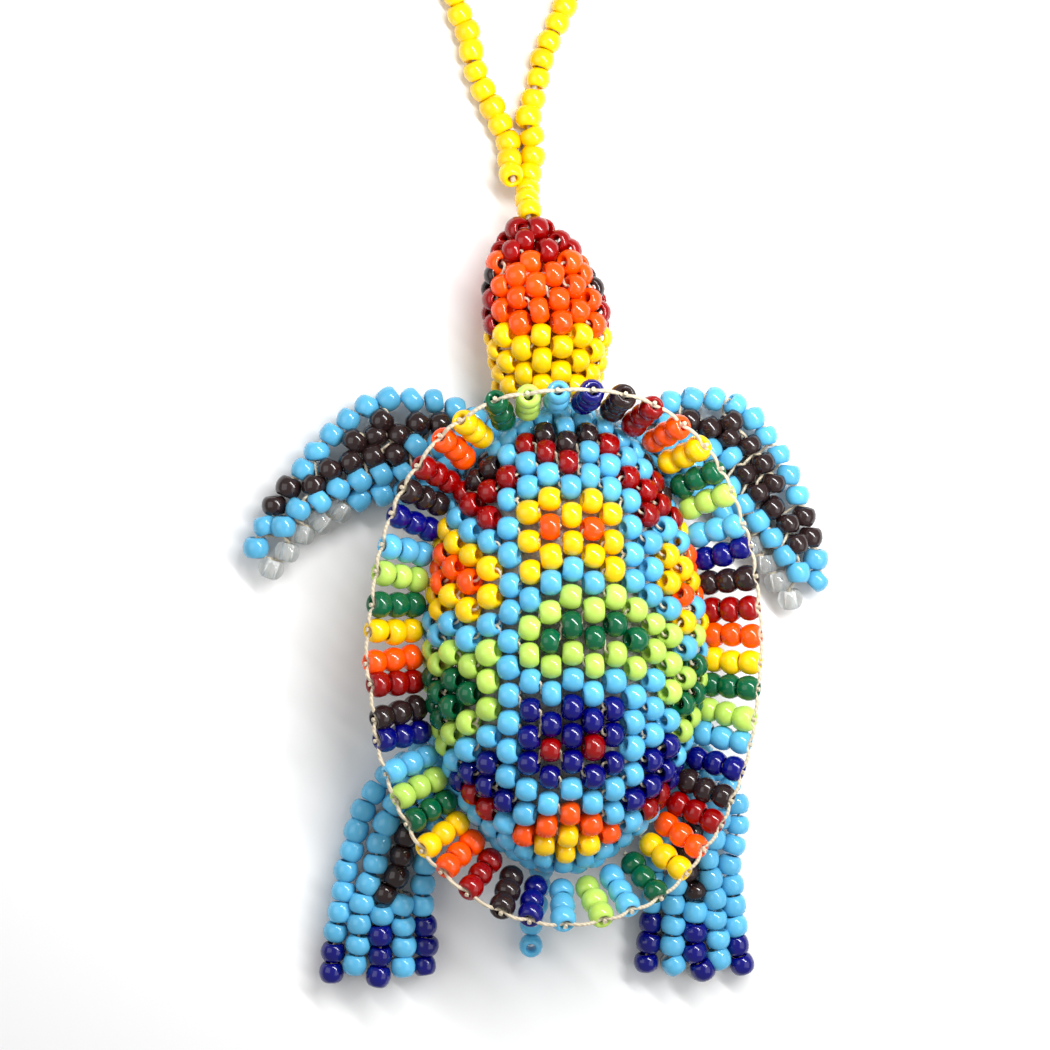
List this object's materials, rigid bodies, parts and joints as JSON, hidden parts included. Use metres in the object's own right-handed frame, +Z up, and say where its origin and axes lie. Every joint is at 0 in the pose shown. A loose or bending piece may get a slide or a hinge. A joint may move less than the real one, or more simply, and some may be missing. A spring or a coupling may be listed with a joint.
{
  "type": "beaded sea turtle ornament",
  "caption": "Small sea turtle sewn from opaque glass seed beads, with a domed shell, a flared rim of bead ribs, jointed limbs and a bead-strung hanging loop at the nose.",
  "frame": {"origin": "centre of the bottom of the turtle's box, without its hanging loop", "axes": "+Z up out of the back, head towards -Y, the turtle's own left towards +X"},
  "size_m": [0.0534, 0.1263, 0.0147],
  "materials": {
    "bead_sky": "opaque glass bead, glossy",
    "bead_yellow": "opaque glass bead, glossy",
    "bead_orange": "opaque glass bead, glossy",
    "bead_red": "opaque glass bead, glossy",
    "bead_brown": "opaque glass bead, glossy",
    "bead_navy": "opaque glass bead, glossy",
    "bead_lime": "opaque glass bead, glossy",
    "bead_green": "opaque glass bead, glossy",
    "bead_crystal": "clear glass bead, fire polished",
    "sewing_thread": "twisted cream nylon thread",
    "white_fibre": "loose white polyester fibre"
  },
  "bodies": {
    "shell": {"shell_dome": "bead_sky", "belly_panel": "bead_crystal", "fibre_stuffing": "white_fibre", "rim_rib_01": "bead_navy", "rim_rib_02": "bead_brown", "rim_rib_03": "bead_red", "rim_rib_04": "bead_orange", "rim_rib_05": "bead_yellow", "rim_rib_06": "bead_green", "rim_rib_07": "bead_lime", "rim_rib_08": "bead_sky", "rim_rib_09": "bead_navy", "rim_rib_10": "bead_brown", "rim_rib_11": "bead_red", "rim_rib_12": "bead_orange", "rim_rib_13": "bead_yellow", "rim_rib_14": "bead_green", "rim_rib_15": "bead_lime", "rim_rib_16": "bead_sky", "rim_rib_17": "bead_navy", "rim_rib_18": "bead_brown", "rim_rib_19": "bead_red", "rim_rib_20": "bead_orange", "rim_rib_21": "bead_yellow", "rim_rib_22": "bead_green", "rim_rib_23": "bead_sky", "rim_rib_24": "bead_lime", "rim_rib_25": "bead_sky", "rim_rib_26": "bead_navy", "rim_rib_27": "bead_brown", "rim_rib_28": "bead_red", "rim_rib_29": "bead_orange", "rim_rib_30": "bead_yellow", "rim_rib_31": "bead_green", "rim_rib_32": "bead_lime", "rim_rib_33": "bead_sky", "rim_rib_34": "bead_navy", "rim_rib_35": "bead_brown", "rim_rib_36": "bead_red", "rim_rib_37": "bead_orange", "rim_rib_38": "bead_yellow", "rim_rib_39": "bead_green", "rim_rib_40": "bead_lime", "rim_rib_41": "bead_sky", "rim_rib_42": "bead_navy", "rim_rib_43": "bead_brown", "rim_rib_44": "bead_red", "rim_rib_45": "bead_orange", "rim_rib_46": "bead_yellow", "rim_rib_47": "bead_green", "rim_rib_48": "bead_lime", "rim_rib_49": "bead_sky", "rim_thread": "sewing_thread"},
    "head": {"head": "bead_orange"},
    "loop": {"hang_loop": "bead_yellow"},
    "front_left": {"front_left_flipper": "bead_sky"},
    "front_right": {"front_right_flipper": "bead_sky"},
    "rear_left": {"rear_left_flipper": "bead_sky"},
    "rear_right": {"rear_right_flipper": "bead_sky"},
    "tail": {"tail": "bead_sky"}
  },
  "joints": [
    {"name": "head_nod", "type": "hinge", "parent": "shell", "child": "head", "pos_m": [-0.0009, -0.0188, 0.006], "axis": [-1, 0, 0], "range_deg": [0, 10]},
    {"name": "loop_swing", "type": "hinge", "parent": "head", "child": "loop", "pos_m": [0.0009, -0.0356, 0.005], "axis": [-1, 0, 0], "range_deg": [0, 90]},
    {"name": "front_left_flap", "type": "hinge", "parent": "shell", "child": "front_left", "pos_m": [0.00587, -0.01378, 0.0043], "axis": [-0.5777, -0.8163, 0], "range_deg": [0, 18]},
    {"name": "front_right_flap", "type": "hinge", "parent": "shell", "child": "front_right", "pos_m": [-0.01007, -0.01378, 0.0043], "axis": [-0.5777, 0.8163, 0], "range_deg": [0, 18]},
    {"name": "rear_left_flap", "type": "hinge", "parent": "shell", "child": "rear_left", "pos_m": [0.00847, 0.0151, 0.0043], "axis": [0.3784, -0.9257, 0], "range_deg": [0, 10]},
    {"name": "rear_right_flap", "type": "hinge", "parent": "shell", "child": "rear_right", "pos_m": [-0.01267, 0.0151, 0.0043], "axis": [0.3784, 0.9257, 0], "range_deg": [0, 10]},
    {"name": "tail_swing", "type": "hinge", "parent": "shell", "child": "tail", "pos_m": [-0.0007, 0.0244, 0.0022], "axis": [0, 0, 1], "range_deg": [-20, 20]}
  ]
}
